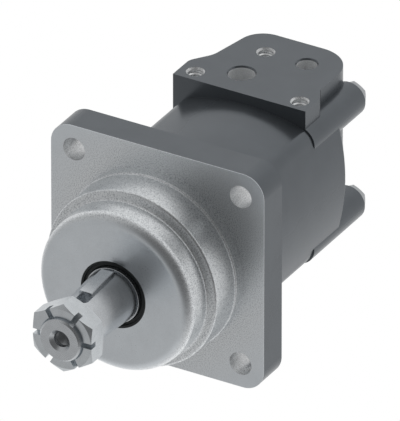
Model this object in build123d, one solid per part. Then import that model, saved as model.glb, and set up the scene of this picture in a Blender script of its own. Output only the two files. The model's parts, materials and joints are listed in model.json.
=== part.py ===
from build123d import *
import math
import os

# Orbital hydraulic motor with a square wheel flange, a keyed taper shaft and ports on top.
# Millimetres. X points right seen from the shaft end, Y runs back along the shaft, Z is up.
# The origin is the centre of the mounting face of the flange, on the shaft axis.

# Bearing housing, outside
flange_side = 133.35
flange_thick = 19.7
flange_corner_r = 12.9
mount_hole_inset = 14.4834
mount_hole_r = 6.795
pilot_r = 53.975
pilot_len = 7.3
collar_step = 0.775
collar_len = 26.1
collar_edge_r = 1.4
collar_foot_r = 0.5
pilot_chamfer = 0.8
pilot_edge_r = 0.4
shoulder_rise = 3.0
shoulder_drop = 1.1
shoulder_foot_r = 1.6
drum_step = 5.4
nose_len = 47.6
drum_edge_r = 6.2
flange_root_r = 4.0
root_hole_gap = 0.3

# Barrel section that all stacked bodies share: a square with bulging sides
barrel_bolt_step = 14.15
barrel_side_r = 125.0
barrel_corner_r = 10.0

# Stack along the shaft, from the mounting face backwards
bearing_housing_end = 60.0
wear_plate_thick = 5.0
geroler_width = 22.0
valve_plate_thick = 9.8
valve_case_len = 28.2
case_edge_r = 1.2

# Assembly bolts and the bosses that carry their heads
bolt_r = 4.76
bolt_hole_gap = 0.39
bolt_seal_wall = 0.9655
bolt_thread_depth = 20.0
bolt_head_flats = 14.3
bolt_head_len = 6.0
bolt_head_face_inset = 0.2
bolt_chamfer = 0.8
bolt_tip_gap = 3.0
boss_r = 10.3
boss_len = 56.1
head_room_r = 11.2

# Seal pocket, front bearing seat and inner room of the bearing housing
seal_web_thick = 3.0
seal_web_gap = 2.0
room_clearance = 0.9
retainer_thick = 9.5
shim_thick = 0.5
retainer_bore_r = 24.0
retainer_cone_len = 2.0
retainer_cone_rise = 3.0
shim_width = 6.36

# Tapered roller bearings
front_bearing_step = 0.86
front_bearing_outer_r = 32.54
front_bearing_width = 18.03
front_cup_width = 14.06
front_cone_width = 17.6
front_roller_len = 11.18
rear_bearing_bore_r = 20.64
rear_bearing_outer_r = 36.71
rear_bearing_width = 19.56
rear_cup_width = 15.26
rear_cone_width = 19.09
rear_roller_len = 12.13
roller_mid_share = 0.49
roller_axis_deg = 12.5
roller_half_deg = 1.5
roller_gap = 1.2
big_rib = 2.4
small_rib = 0.9
rib_gap = 0.06
bearing_edge_r = 0.5
cage_thick = 1.0
cage_offset = 0.9
cage_margin = 1.5
cage_window_gap = 0.1

# Output shaft, front to back
taper_ratio = 1 / 16
taper_large_r = 15.875
taper_len = 38.0
thread_r = 12.7
thread_len = 17.2
thread_chamfer = 1.0
thread_relief_len = 2.4
thread_relief_depth = 1.1
journal_step = 0.725
journal_proud = 1.3
journal_edge_r = 0.3
journal_step_len = 1.0
neck_len = 1.1
neck_depth = 0.9
shaft_edge_r = 0.5
centre_cone_rise = 2.0
centre_hole_r = 4.5
centre_hole_depth = 26.0
front_shoulder_rise = 4.04
rear_shoulder_rise = 3.86
front_shoulder_len = 8.0
shaft_tail = 4.0
socket_floor_y = 18.5
socket_mouth_gap = 0.4
socket_spline_len = 19.5

# Key and keyway
key_width = 7.94
key_height = 7.94
key_len = 23.6
key_rise = 2.525
key_rear_inset = 3.6
keyway_front_gap = 2.8
keyway_floor_gap = 0.1
key_chamfer = 0.35

# Slotted nut
nut_flats = 36.5
nut_len = 13.1
nut_face_inset = 0.15
nut_corner_cone = 1.7
nut_slot_width = 3.2
nut_slot_depth = 4.6
nut_slots = 6
nut_bore_cone_rise = 0.8
nut_stand_off = 1.3

# Seals around the shaft
seal_height = 3.65
seal_gap = 0.3
dust_seal_len = 3.6
dust_seal_rim_rise = 2.1
dust_seal_recess = 1.1
dust_seal_set_back = 0.3
dust_rim_slope = 0.3
dust_rim_edge_r = 0.2
dust_lip_chamfer = 0.5
dust_back_chamfer = 0.9
shaft_seal_len = 5.8
shaft_seal_lip_rise = 1.3
shaft_seal_wall = 1.0
shaft_seal_web = 1.6
shaft_seal_bend_r = 0.3
lip_front_len = 1.4
lip_land_len = 1.0
lip_back_rise = 0.3
lip_tail_gap = 1.2

# Square cut seals between the stacked bodies
section_seal_land = 1.39
section_seal_width = 2.1
section_seal_depth = 1.5

# Geroler set: star with six lobes in a ring with seven rollers
star_lobes = 6
roller_circle_r = 31.0
geroler_roller_r = 6.3
eccentricity = 2.9
ring_bore_rise = 0.15
star_points_per_lobe = 20
geroler_roller_chamfer = 0.4

# Drive splines: parallel sided, with crowned teeth on the links
spline_teeth = 12
spline_minor_r = 10.8
spline_depth = 2.4
spline_tooth_width = 3.05
spline_tip_gap = 0.25
spline_root_gap = 0.6
main_crown_r = 40.0
main_head_front_half = 6.5
main_head_rear_half = 4.6
main_pivot_front_inset = 9.5
main_pivot_rear_inset = 5.6
main_shank_step = 1.6
main_nose_front_r = 5.0
main_nose_rear_r = 3.0
valve_spline_teeth = 10
valve_spline_minor_r = 7.4
valve_spline_depth = 1.8
valve_tooth_width = 2.2
valve_crown_r = 14.0
valve_head_front_half = 2.6
valve_head_rear_half = 3.0
valve_pivot_front_inset = 4.3
valve_pivot_rear_inset = 6.5
valve_shank_step = 1.0
valve_nose_front_r = 1.9
valve_nose_rear_r = 3.2

# Spacer between the ends of the two drive links
link_nose_len = 0.85
spacer_hub_r = 4.0
spacer_rim_thick = 1.2
spacer_rim_edge_r = 0.3
spacer_hub_slope = 1.0

# Wear plate, valve plate and valve disc
wear_plate_bore_gap = 0.8
valve_plate_bore_r = 11.0
pocket_slot_height = 5.7
pocket_slot_inset = 0.8
window_height = 7.0
window_reach = 2.0
passage_overlap = 1.0
plate_window_half_deg = 7.0
pocket_slot_half_deg = 8.0
disc_window_half_deg = 7.75
disc_window_phase_deg = 15.0
disc_land = 3.5
disc_thick = 17.2
disc_floor = 2.0
disc_window_depth = 6.0
disc_mouth_depth = 6.0
disc_return_height = 7.5
disc_return_reach = 3.5

# Balance ring, its spring, pins and seal
balance_flange_thick = 5.0
balance_land_gap = 1.0
balance_recess = 1.2
balance_edge_r = 0.5
balance_sleeve_wall = 7.0
balance_sleeve_len = 13.0
balance_seal_width = 2.4
balance_seal_depth = 2.2
balance_seal_inset = 4.0
disc_spring_bore_gap = 1.1
disc_spring_rim_inset = 1.6
disc_spring_height = 3.2
disc_spring_thick = 0.8
pin_offset = 0.6
pin_r = 1.5
pin_hole_depth = 5.0
pin_set_back = 1.0
pin_angles_deg = (90, 270)

# Rooms inside the valve housing
valve_room_gap = 4.0
sleeve_end_gap = 3.7
return_room_rise = 0.5
return_room_wall = 9.5

# Rear hub and port block of the valve housing
port_face_rise = 6.4
block_left_x = -46.2
block_right_x = 37.2
block_left_len = 17.7
block_left_r = 8.0
block_left_neck = (-37.6, 29.7)
block_left_neck_r = 14.0
block_right_len = 16.2
block_right_r = 3.0
lobe_right_x = 32.4
lobe_right_start = 24.7
lobe_rear_left_x = -30.5
lobe_len = 65.5
lobe_left_r = 14.5
lobe_right_r = 21.0
hub_r = 31.8
hub_len = 64.0
hub_edge_r = 17.0
hub_root_r = 39.0
hub_root_len = 35.0
hub_root_edge_r = 3.0
hub_foot_r = 2.0

# Ports and fixing holes in the port face, from the front face of the valve housing
port_a_pos = (-14.1, 19.6)
port_a_r = 7.45
port_a_floor_z = 30.2
port_b_pos = (11.7, 46.3)
port_b_r = 5.6
port_b_floor_z = 8.0
port_mouth_rise = 0.8
fixing_positions = [(-36.8, 8.4), (28.9, 8.4), (-14.3, 46.4)]
fixing_hole_r = 4.25
fixing_mouth_rise = 1.1
mouth_depth = 1.1
fixing_depth = 12.5
drill_point_slope = 0.6

# Clearances
static_fit = 0.02
running_fit = 0.04
face_fit = 0.02
nose_gap = 0.05
sleeve_fit = 0.1
corner_clearance = 0.2

# How far a cutter runs past a face, and how near counts as on it
cut_over = 1.0
tolerance = 0.01

# Radii and heights worked out from the sizes above
collar_r = pilot_r - collar_step
drum_r = collar_r - drum_step
journal_r = taper_large_r + journal_step
front_bearing_bore_r = journal_r + front_bearing_step
front_shoulder_r = front_bearing_bore_r + front_shoulder_rise
shaft_body_r = rear_bearing_bore_r + rear_shoulder_rise
seal_pocket_r = journal_r + seal_height
seal_web_r = journal_r + seal_web_gap
dust_seal_rim_r = journal_r + dust_seal_rim_rise
shaft_seal_lip_r = journal_r + shaft_seal_lip_rise
centre_cone_r = centre_hole_r + centre_cone_rise
nut_face_r = nut_flats / 2 - nut_face_inset
nut_bore_cone_r = thread_r + nut_bore_cone_rise
section_seal_inner_r = rear_bearing_outer_r + section_seal_land
section_seal_outer_r = section_seal_inner_r + section_seal_width
bolt_hole_r = bolt_r + bolt_hole_gap
bolt_offset = (section_seal_outer_r + bolt_seal_wall + bolt_hole_r) * math.sqrt(0.5)
barrel_half = bolt_offset + barrel_bolt_step
bolt_head_face_r = bolt_head_flats / 2 - bolt_head_face_inset
ring_bore_r = roller_circle_r + ring_bore_rise
spline_major_r = spline_minor_r + spline_depth
spline_root_r = spline_minor_r - spline_root_gap
main_shank_r = spline_root_r - main_shank_step
socket_mouth_r = spline_major_r + socket_mouth_gap
wear_plate_bore_r = spline_major_r + wear_plate_bore_gap
valve_spline_major_r = valve_spline_minor_r + valve_spline_depth
valve_spline_root_r = valve_spline_minor_r - spline_root_gap
valve_shank_r = valve_spline_root_r - valve_shank_step
pocket_slot_outer_r = roller_circle_r - pocket_slot_inset
pocket_slot_inner_r = pocket_slot_outer_r - pocket_slot_height
window_outer_r = pocket_slot_inner_r + window_reach
window_inner_r = window_outer_r - window_height
disc_r = window_outer_r + disc_land
disc_return_outer_r = window_inner_r + disc_return_reach
disc_return_inner_r = disc_return_outer_r - disc_return_height
balance_sleeve_r = disc_return_inner_r + balance_sleeve_wall
balance_land_r = disc_return_outer_r + balance_land_gap
disc_spring_inner_r = balance_sleeve_r + disc_spring_bore_gap
disc_spring_outer_r = disc_r - disc_spring_rim_inset
pin_circle_r = disc_r + pin_offset
valve_room_r = disc_r + valve_room_gap
return_room_r = disc_return_inner_r + return_room_rise
port_face_z = barrel_half + port_face_rise

# Stations along Y worked out from the sizes above
wear_plate_y = bearing_housing_end
ring_y = wear_plate_y + wear_plate_thick
valve_plate_y = ring_y + geroler_width
valve_case_y = valve_plate_y + valve_plate_thick
valve_case_end = valve_case_y + valve_case_len
boss_end_y = valve_case_y + boss_len
front_face_y = -nose_len
seal_pocket_end = front_face_y + dust_seal_set_back + dust_seal_len + seal_gap + shaft_seal_len
front_cup_y = seal_pocket_end + seal_web_thick
front_shoulder_y = front_cup_y + front_bearing_width
retainer_y = bearing_housing_end - retainer_thick
rear_cup_y = retainer_y - shim_thick
rear_shoulder_y = rear_cup_y - rear_bearing_width
shaft_end_y = rear_cup_y + shaft_tail
journal_y = front_face_y - journal_proud
taper_end_y = journal_y - neck_len
taper_start_y = taper_end_y - taper_len
shaft_tip_y = taper_start_y - thread_len
taper_small_r = taper_large_r - taper_len * taper_ratio
nut_rear_y = taper_start_y - nut_stand_off
nut_front_y = nut_rear_y - nut_len
key_rear_y = taper_end_y - key_rear_inset
key_front_y = key_rear_y - key_len
main_pivot_front_y = socket_floor_y + main_pivot_front_inset
main_rear_pivot_y = ring_y + main_pivot_rear_inset
valve_front_pivot_y = valve_plate_y - valve_pivot_front_inset
disc_rear_y = valve_case_y + disc_thick
disc_floor_y = disc_rear_y - disc_floor
valve_rear_pivot_y = disc_rear_y - valve_pivot_rear_inset
balance_rear_y = disc_rear_y + balance_flange_thick
balance_groove_y = balance_rear_y + balance_seal_inset
valve_room_end = balance_rear_y + disc_spring_height
sleeve_end_y = balance_rear_y + balance_sleeve_len
sleeve_bore_end = sleeve_end_y + sleeve_end_gap
return_room_end = valve_case_y + hub_len - return_room_wall
main_tilt = math.atan2(eccentricity, main_rear_pivot_y - main_pivot_front_y)
valve_tilt = math.atan2(eccentricity, valve_rear_pivot_y - valve_front_pivot_y)
ring_rollers = star_lobes + 1
bolt_centres = [(sx * bolt_offset, sz * bolt_offset) for sx in (-1, 1) for sz in (-1, 1)]
mount_offset = flange_side / 2 - mount_hole_inset


def rounded_wire(corners):
    """Closed outline from (x, y, radius) corners; radius 0 leaves the corner sharp."""
    count = len(corners)
    ends = []
    for index, (x, y, radius) in enumerate(corners):
        before = Vector(*corners[index - 1][:2])
        after = Vector(*corners[(index + 1) % count][:2])
        here = Vector(x, y)
        to_before = (before - here).normalized()
        to_after = (after - here).normalized()
        if radius == 0:
            ends.append((here, here, here))
            continue
        half = math.radians(to_before.get_angle(to_after)) / 2
        reach = radius / math.tan(half)
        middle_way = (to_before + to_after).normalized()
        centre = here + middle_way * (radius / math.sin(half))
        ends.append((here + to_before * reach, centre - middle_way * radius, here + to_after * reach))
    edges = []
    for index, (start, middle, end) in enumerate(ends):
        if (end - start).length > 0:
            edges.append(ThreePointArc(start, middle, end))
        next_start = ends[(index + 1) % count][0]
        if (next_start - end).length > 0:
            edges.append(Line(end, next_start))
    return Wire(edges)


def turned(corners):
    """Solid of revolution about the Y axis from (radius, y, corner radius) corners."""
    return revolve(make_face(rounded_wire(corners)), Axis.Y)


def ring_solid(inner_r, outer_r, y0, y1):
    return turned([(inner_r, y0, 0), (outer_r, y0, 0), (outer_r, y1, 0), (inner_r, y1, 0)])


def disc_solid(radius, y0, y1):
    return ring_solid(0, radius, y0, y1)


def prism(sketch, y0, y1):
    """Extrude a sketch drawn in X and Z from y0 to y1."""
    return extrude(Plane.XZ.offset(-y1) * sketch, y1 - y0)


def rod(x, z, radius, y0, y1):
    return prism(Pos(x, z) * Circle(radius), y0, y1)


def around(angle_deg, radius):
    """Point in X and Z, with the angle counted from Z towards X."""
    angle = math.radians(angle_deg)
    return radius * math.sin(angle), radius * math.cos(angle)


def turned_copies(solid, count, phase_deg=0.0):
    return [Rot(0, phase_deg + index * 360 / count, 0) * solid for index in range(count)]


def fuse(solids):
    first, *rest = solids
    return first.fuse(*rest)


def sector(inner_r, outer_r, half_deg, y0, y1):
    """Piece of a ring, centred on the Z direction."""
    inner_a = around(-half_deg, inner_r)
    inner_m = around(0, inner_r)
    inner_b = around(half_deg, inner_r)
    outer_a = around(-half_deg, outer_r)
    outer_m = around(0, outer_r)
    outer_b = around(half_deg, outer_r)
    edges = [
        ThreePointArc(inner_a, inner_m, inner_b),
        Line(inner_b, outer_b),
        ThreePointArc(outer_b, outer_m, outer_a),
        Line(outer_a, inner_a),
    ]
    return prism(make_face(Wire(edges)), y0, y1)


def barrel_corner():
    """How far the centre of a corner arc lies from the axis, in X and in Z."""
    side_centre = barrel_half - barrel_side_r
    reach = barrel_side_r - barrel_corner_r
    return (side_centre + math.sqrt(2 * reach ** 2 - side_centre ** 2)) / 2


def barrel_section():
    """Square with bulging sides: four side arcs joined by four corner arcs."""
    side_centre = barrel_half - barrel_side_r
    corner = barrel_corner()
    swing = math.atan2(corner, corner - side_centre)

    def on_side(angle):
        return Vector(side_centre + barrel_side_r * math.cos(angle), barrel_side_r * math.sin(angle))

    def on_corner(angle):
        return Vector(corner, corner) + Vector(math.cos(angle), math.sin(angle)) * barrel_corner_r

    side = ThreePointArc(on_side(-swing), on_side(0), on_side(swing))
    bend = ThreePointArc(on_corner(swing), on_corner(math.pi / 4), on_corner(math.pi / 2 - swing))
    return make_face(Wire([Rot(0, 0, 90 * quarter) * arc for quarter in range(4) for arc in (side, bend)]))


def bolt_holes(y0, y1, radius):
    return [rod(x, z, radius, y0, y1) for x, z in bolt_centres]


def barrel_slice(y0, y1):
    """One body of the stack, with its four bolt holes."""
    return prism(barrel_section(), y0, y1) - bolt_holes(y0, y1, bolt_hole_r)


def seal_groove(y0, depth):
    """Groove for a square cut seal; a negative depth cuts towards the front."""
    low, high = sorted((y0, y0 + depth))
    return ring_solid(section_seal_inner_r, section_seal_outer_r, low, high)


def section_seal(y0):
    """Square cut seal that fills its groove, from y0 backwards."""
    inner_r = section_seal_inner_r + static_fit
    outer_r = section_seal_outer_r - static_fit
    return ring_solid(inner_r, outer_r, y0 + static_fit, y0 + section_seal_depth)


def housing_nose():
    """Drum, collar and pilot in front of the flange, as turned."""
    blend_y = -collar_len - shoulder_rise
    return turned([
        (0, front_face_y, 0),
        (drum_r, front_face_y, drum_edge_r),
        (drum_r, blend_y, shoulder_foot_r),
        (collar_r, blend_y + shoulder_drop, collar_edge_r),
        (collar_r, -pilot_len - pilot_chamfer, collar_foot_r),
        (pilot_r, -pilot_len, pilot_edge_r),
        (pilot_r, flange_thick / 2, 0),
        (0, flange_thick / 2, 0),
    ])


def housing_flange():
    plate = RectangleRounded(flange_side, flange_side, flange_corner_r)
    holes = [
        rod(sx * mount_offset, sz * mount_offset, mount_hole_r, 0, flange_thick)
        for sx in (-1, 1)
        for sz in (-1, 1)
    ]
    return prism(plate, 0, flange_thick) - holes


def housing_bores():
    room_r = front_bearing_outer_r + room_clearance
    front_seat_end = front_cup_y + front_cup_width + room_clearance
    rear_seat_y = rear_shoulder_y - room_clearance
    return [
        disc_solid(seal_pocket_r, front_face_y, seal_pocket_end),
        disc_solid(seal_web_r, front_face_y, front_cup_y),
        disc_solid(front_bearing_outer_r, front_cup_y, front_seat_end),
        disc_solid(room_r, front_seat_end, rear_seat_y),
        disc_solid(rear_bearing_outer_r, rear_seat_y, bearing_housing_end),
    ]


def flange_root_radius():
    """Root fillet behind the flange, limited by the wall up to the mounting holes."""
    corner_reach = barrel_corner() * math.sqrt(2) + barrel_corner_r
    wall = mount_offset * math.sqrt(2) - mount_hole_r - root_hole_gap - corner_reach
    return min(flange_root_r, wall)


def bearing_housing():
    barrel = prism(barrel_section(), flange_thick, bearing_housing_end)
    root = [edge for edge in (housing_flange() + barrel).edges() if is_flange_root(edge)]
    body = fillet(root, flange_root_radius()) + housing_nose()
    body = body - housing_bores()
    thread_start = bearing_housing_end - bolt_thread_depth - bolt_tip_gap
    body = body - bolt_holes(thread_start, bearing_housing_end, bolt_r + static_fit)
    return body - seal_groove(bearing_housing_end, -section_seal_depth)


def is_flange_root(edge):
    """Edges where the barrel meets the back of the flange."""
    middle = edge.center()
    on_back = abs(middle.Y - flange_thick) < tolerance
    in_barrel = max(abs(middle.X), abs(middle.Z)) < barrel_half + tolerance
    return on_back and in_barrel


def shaft_profile():
    relief_r = thread_r - thread_relief_depth
    relief_end = taper_start_y
    neck_r = taper_large_r - neck_depth
    cone_r = front_bearing_bore_r - static_fit
    tail_r = rear_bearing_bore_r - static_fit
    body_start = front_shoulder_y + front_shoulder_len
    return [
        (0, shaft_tip_y, 0),
        (thread_r - thread_chamfer, shaft_tip_y, 0),
        (thread_r, shaft_tip_y + thread_chamfer, 0),
        (thread_r, relief_end - thread_relief_len, 0),
        (relief_r, relief_end - thread_relief_len + thread_relief_depth, 0),
        (relief_r, relief_end, 0),
        (taper_small_r, relief_end, shaft_edge_r),
        (taper_large_r, taper_end_y, 0),
        (neck_r, taper_end_y, 0),
        (neck_r, journal_y, 0),
        (journal_r, journal_y, journal_edge_r),
        (journal_r, front_cup_y - seal_web_thick / 2, 0),
        (cone_r, front_cup_y - seal_web_thick / 2 + journal_step_len, 0),
        (cone_r, front_shoulder_y, 0),
        (front_shoulder_r, front_shoulder_y, shaft_edge_r),
        (front_shoulder_r, body_start, 0),
        (shaft_body_r, body_start + front_shoulder_len, 0),
        (shaft_body_r, rear_shoulder_y, shaft_edge_r),
        (tail_r, rear_shoulder_y, 0),
        (tail_r, shaft_end_y, shaft_edge_r),
        (0, shaft_end_y, 0),
    ]


def centre_hole():
    """Countersunk tapped hole in the front end of the shaft."""
    floor_y = shaft_tip_y + centre_hole_depth
    return turned([
        (0, shaft_tip_y - cut_over, 0),
        (centre_cone_r + cut_over, shaft_tip_y - cut_over, 0),
        (centre_hole_r, shaft_tip_y + centre_cone_rise, 0),
        (centre_hole_r, floor_y, 0),
        (0, floor_y + centre_hole_r * drill_point_slope, 0),
    ])


def key_height_at(y):
    """Height of the key's top over the axis; it runs parallel to the taper."""
    return taper_large_r - (taper_end_y - y) * taper_ratio + key_rise


def keyway():
    """End milled slot, parallel to the taper, with round ends."""
    width = key_width + 2 * static_fit
    front_centre = key_front_y - keyway_front_gap
    length = key_rear_y - front_centre + width
    middle = (key_rear_y + front_centre) / 2
    floor_z = key_height_at(middle) - key_height - keyway_floor_gap
    slot = extrude(Rot(0, 0, 90) * SlotOverall(length, width), drum_r)
    tilt = math.degrees(math.atan(taper_ratio))
    return Pos(0, middle, floor_z) * Rot(tilt, 0, 0) * slot


def shaft_key():
    """Square key with small edge chamfers, lying parallel to the taper."""
    middle = (key_front_y + key_rear_y) / 2
    block = Box(key_width, key_len, key_height, align=(Align.CENTER, Align.CENTER, Align.MAX))
    block = chamfer(block.edges().filter_by(Axis.Y), key_chamfer)
    tilt = math.degrees(math.atan(taper_ratio))
    return Pos(0, middle, key_height_at(middle)) * Rot(tilt, 0, 0) * block


def groove_width(tooth_width, crown_r, tilt):
    """Width of a spline groove that lets a crowned tooth swing by the tilt."""
    swing = crown_r * (1 - math.cos(tilt))
    return tooth_width + 2 * (swing + running_fit)


def spline_hole(teeth, minor_r, major_r, width, y0, y1):
    """Cutter for a parallel sided internal spline."""
    groove = Box(width, y1 - y0, 2 * major_r, align=(Align.CENTER, Align.MIN, Align.MIN))
    grooves = fuse(turned_copies(Pos(0, y0, 0) * groove, teeth))
    return disc_solid(minor_r, y0, y1) + (grooves & disc_solid(major_r, y0, y1))


def drive_spline_hole(y0, y1):
    """The spline that the main link and the valve link share."""
    wide = max(
        groove_width(spline_tooth_width, main_crown_r, main_tilt),
        groove_width(spline_tooth_width, valve_crown_r, valve_tilt),
    )
    return spline_hole(spline_teeth, spline_minor_r, spline_major_r, wide, y0, y1)


def output_shaft():
    body = turned(shaft_profile())
    spline_end = socket_floor_y + socket_spline_len
    mouth = disc_solid(socket_mouth_r, spline_end, shaft_end_y)
    socket = drive_spline_hole(socket_floor_y, spline_end)
    return body - [centre_hole(), keyway(), socket, mouth]


def hexagon_bar(flats, y0, y1):
    """Hexagon bar along Y with a corner up."""
    return prism(RegularPolygon(flats / 2, 6, major_radius=False, rotation=30), y0, y1)


def over_corners(flats):
    """Radius that just clears the corners of a hexagon bar."""
    return flats / math.sqrt(3) + corner_clearance


def castle_nut():
    """Hexagon nut with a corner up, cone faced ends and slots across its flats."""
    corner_r = over_corners(nut_flats)
    envelope = turned([
        (0, nut_front_y, 0),
        (nut_face_r, nut_front_y, 0),
        (corner_r, nut_front_y + nut_corner_cone, 0),
        (corner_r, nut_rear_y - nut_corner_cone, 0),
        (nut_face_r, nut_rear_y, 0),
        (0, nut_rear_y, 0),
    ])
    body = hexagon_bar(nut_flats, nut_front_y, nut_rear_y) & envelope
    bore_r = thread_r + static_fit
    cone_depth = nut_bore_cone_r - bore_r
    bore = turned([
        (0, nut_front_y, 0),
        (nut_bore_cone_r, nut_front_y, 0),
        (bore_r, nut_front_y + cone_depth, 0),
        (bore_r, nut_rear_y - cone_depth, 0),
        (nut_bore_cone_r, nut_rear_y, 0),
        (0, nut_rear_y, 0),
    ])
    slot = Box(nut_slot_width, nut_slot_depth, nut_flats, align=(Align.CENTER, Align.MIN, Align.MIN))
    slots = turned_copies(Pos(0, nut_front_y, 0) * slot, nut_slots, 180 / nut_slots)
    return body - [bore] - slots


def dust_seal():
    """Wiper ring at the mouth of the seal pocket, with a lower inner face."""
    front = front_face_y + dust_seal_set_back
    back = front + dust_seal_len
    outer_r = seal_pocket_r - static_fit
    lip_r = journal_r + running_fit
    low = front + dust_seal_recess
    return turned([
        (lip_r, low + dust_lip_chamfer, 0),
        (lip_r + dust_lip_chamfer, low, 0),
        (dust_seal_rim_r, low, 0),
        (dust_seal_rim_r + dust_rim_slope, front, dust_rim_edge_r),
        (outer_r, front, dust_rim_edge_r),
        (outer_r, back, 0),
        (lip_r + dust_back_chamfer, back, 0),
        (lip_r, back - dust_back_chamfer, 0),
    ])


def shaft_seal():
    """Pressure seal behind the wiper: heel in the pocket and a lip on the journal."""
    back = seal_pocket_end - static_fit
    front = back - shaft_seal_len
    outer_r = seal_pocket_r - static_fit
    lip_r = journal_r + running_fit
    tail = back - lip_tail_gap
    return turned([
        (lip_r, front + lip_front_len, 0),
        (shaft_seal_lip_r, front, 0),
        (outer_r, front, 0),
        (outer_r, back, 0),
        (outer_r - shaft_seal_wall, back, 0),
        (outer_r - shaft_seal_wall, front + shaft_seal_web, shaft_seal_bend_r),
        (shaft_seal_lip_r, front + shaft_seal_web, shaft_seal_bend_r),
        (shaft_seal_lip_r, tail, 0),
        (lip_r + lip_back_rise, tail, 0),
        (lip_r, front + lip_front_len + lip_land_len, 0),
    ])


class TaperedBearing:
    """Tapered roller bearing along +Y: back face of the cup at 0, back of the cone at width."""

    def __init__(self, bore_r, outer_r, width, cup_width, cone_width, roller_len):
        self.bore_r = bore_r
        self.outer_r = outer_r
        self.width = width
        self.cup_width = cup_width
        self.cone_width = cone_width
        self.tilt = math.radians(roller_axis_deg)
        self.half = math.radians(roller_half_deg)
        self.mean_r = (bore_r + outer_r) / 2
        self.apex_y = width * roller_mid_share - self.mean_r / math.tan(self.tilt)
        middle = self.mean_r / math.sin(self.tilt)
        self.near = middle - roller_len / 2
        self.far = middle + roller_len / 2
        self.mean_roller_r = middle * math.tan(self.half)
        pitch = 2 * self.mean_roller_r + roller_gap
        self.count = int(2 * math.pi * self.mean_r / pitch)

    def at(self, along, out):
        """Radius and y of a point, given along the roller axis and out from it."""
        radius = along * math.sin(self.tilt) + out * math.cos(self.tilt)
        return radius, self.apex_y + along * math.cos(self.tilt) - out * math.sin(self.tilt)

    def cup_race(self, y):
        return (y - self.apex_y) * math.tan(self.tilt + self.half)

    def on_cone_race(self, along):
        return self.at(along, -along * math.tan(self.half))

    def cup(self):
        outer_r = self.outer_r - static_fit
        return turned([
            (self.cup_race(0), 0, 0),
            (outer_r, 0, bearing_edge_r),
            (outer_r, self.cup_width, bearing_edge_r),
            (self.cup_race(self.cup_width), self.cup_width, 0),
        ])

    def cone(self):
        front = self.width - self.cone_width
        large = self.on_cone_race(self.far + rib_gap)
        small = self.on_cone_race(self.near - rib_gap)
        large_top = (large[0] + big_rib * math.cos(self.tilt), large[1] - big_rib * math.sin(self.tilt))
        small_top = (small[0] + small_rib * math.cos(self.tilt), small[1] - small_rib * math.sin(self.tilt))
        return turned([
            (self.bore_r, front, 0),
            (small_top[0], front, bearing_edge_r),
            (*small_top, 0),
            (*small, 0),
            (*large, 0),
            (*large_top, 0),
            (large_top[0], self.width, bearing_edge_r),
            (self.bore_r, self.width, bearing_edge_r),
        ])

    def frustum(self):
        """One tapered roller on its slanted axis, above the Z direction."""
        axis_y = math.cos(self.tilt)
        axis_z = math.sin(self.tilt)
        start = Vector(0, self.apex_y + self.near * axis_y, self.near * axis_z)
        plane = Plane(origin=start, x_dir=(1, 0, 0), z_dir=(0, axis_y, axis_z))
        near_r = self.near * math.tan(self.half) - running_fit
        far_r = self.far * math.tan(self.half) - running_fit
        align = (Align.CENTER, Align.CENTER, Align.MIN)
        return plane * Cone(near_r, far_r, self.far - self.near, align=align)

    def rollers(self):
        return Compound(turned_copies(self.frustum(), self.count))

    def cage(self):
        """Pressed cage: a thin slanted ring with one window for each roller."""
        near = self.near - cage_margin
        far = self.far + cage_margin
        inner = cage_offset
        outer = cage_offset + cage_thick
        shell = turned([
            (*self.at(near, inner), 0),
            (*self.at(near, outer), 0),
            (*self.at(far, outer), 0),
            (*self.at(far, inner), 0),
        ])
        half_width = self.far * math.tan(self.half) + running_fit
        length = self.far - self.near + 2 * cage_window_gap
        middle = self.at((self.near + self.far) / 2, 0)
        window = Box(2 * half_width, length, 3 * outer, align=(Align.CENTER, Align.CENTER, Align.MIN))
        window = Pos(0, middle[1], middle[0]) * Rot(math.degrees(self.tilt), 0, 0) * window
        return shell - turned_copies(window, self.count)


def front_bearing(solid):
    return Pos(0, front_cup_y, 0) * solid


def rear_bearing(solid):
    return Pos(0, rear_cup_y, 0) * Rot(0, 0, 180) * solid


def preload_shim():
    outer_r = rear_bearing_outer_r - static_fit
    return ring_solid(outer_r - shim_width, outer_r, rear_cup_y, retainer_y)


def bearing_retainer():
    """Ring between the rear bearing cup and the wear plate."""
    outer_r = rear_bearing_outer_r - static_fit
    return turned([
        (retainer_bore_r, retainer_y + retainer_cone_len, 0),
        (retainer_bore_r + retainer_cone_rise, retainer_y, 0),
        (outer_r, retainer_y, 0),
        (outer_r, bearing_housing_end, 0),
        (retainer_bore_r, bearing_housing_end, 0),
    ])


def wear_plate():
    body = barrel_slice(wear_plate_y, ring_y) - disc_solid(wear_plate_bore_r, wear_plate_y, ring_y)
    return body - seal_groove(ring_y, -section_seal_depth)


def roller_angle(index):
    return index * 360 / ring_rollers


def geroler_ring():
    """Ring with one pocket for each roller, each a little over half a circle."""
    pocket_r = geroler_roller_r + running_fit / 2
    pockets = [
        rod(*around(roller_angle(index), roller_circle_r), pocket_r, ring_y, valve_plate_y)
        for index in range(ring_rollers)
    ]
    body = barrel_slice(ring_y, valve_plate_y)
    return body - [disc_solid(ring_bore_r, ring_y, valve_plate_y)] - pockets


def geroler_roller(index):
    x, z = around(roller_angle(index), roller_circle_r)
    radius = geroler_roller_r - running_fit / 2
    body = rod(x, z, radius, ring_y + face_fit, valve_plate_y - face_fit)
    return chamfer(body.edges().filter_by(GeomType.CIRCLE), geroler_roller_chamfer)


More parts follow.
